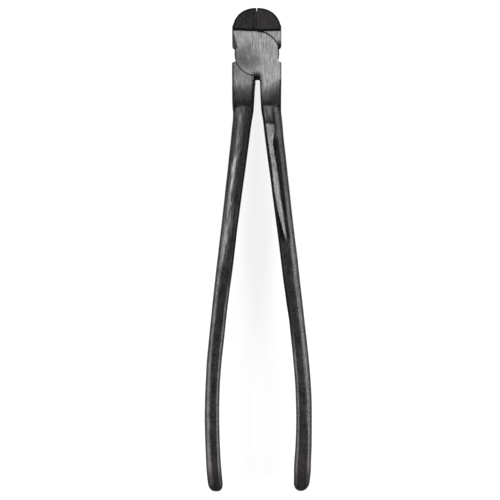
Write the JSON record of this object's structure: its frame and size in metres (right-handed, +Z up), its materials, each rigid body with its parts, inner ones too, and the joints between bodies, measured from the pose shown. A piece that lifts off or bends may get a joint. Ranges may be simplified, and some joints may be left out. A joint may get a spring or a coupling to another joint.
{
  "type": "wire cutter",
  "caption": "Long-handled end-cutting wire nipper with a flush-riveted lap joint; the jaws meet in a D-shaped head and open as the handles spread.",
  "frame": {"origin": "on the surface the closed tool lies on, at the middle of its outline", "axes": "+Y along the tool towards the jaws, +Z up out of the joint face, +X to the right handle"},
  "size_m": [0.0789, 0.356, 0.028],
  "materials": {
    "forged_steel_front": "drop-forged carbon steel, black oxide, joint faces ground bright",
    "forged_steel_back": "drop-forged carbon steel, black oxide, joint faces ground bright",
    "rivet_steel": "steel rivet, set and ground level with the joint"
  },
  "bodies": {
    "back": {"back_lever": "forged_steel_back", "pivot_rivet": "rivet_steel"},
    "front": {"front_lever": "forged_steel_front"}
  },
  "joints": [
    {"name": "pivot", "type": "hinge", "parent": "back", "child": "front", "pos_m": [0, 0.1443, 0.014], "axis": [0, 0, 1], "range_deg": [0, 31]}
  ]
}
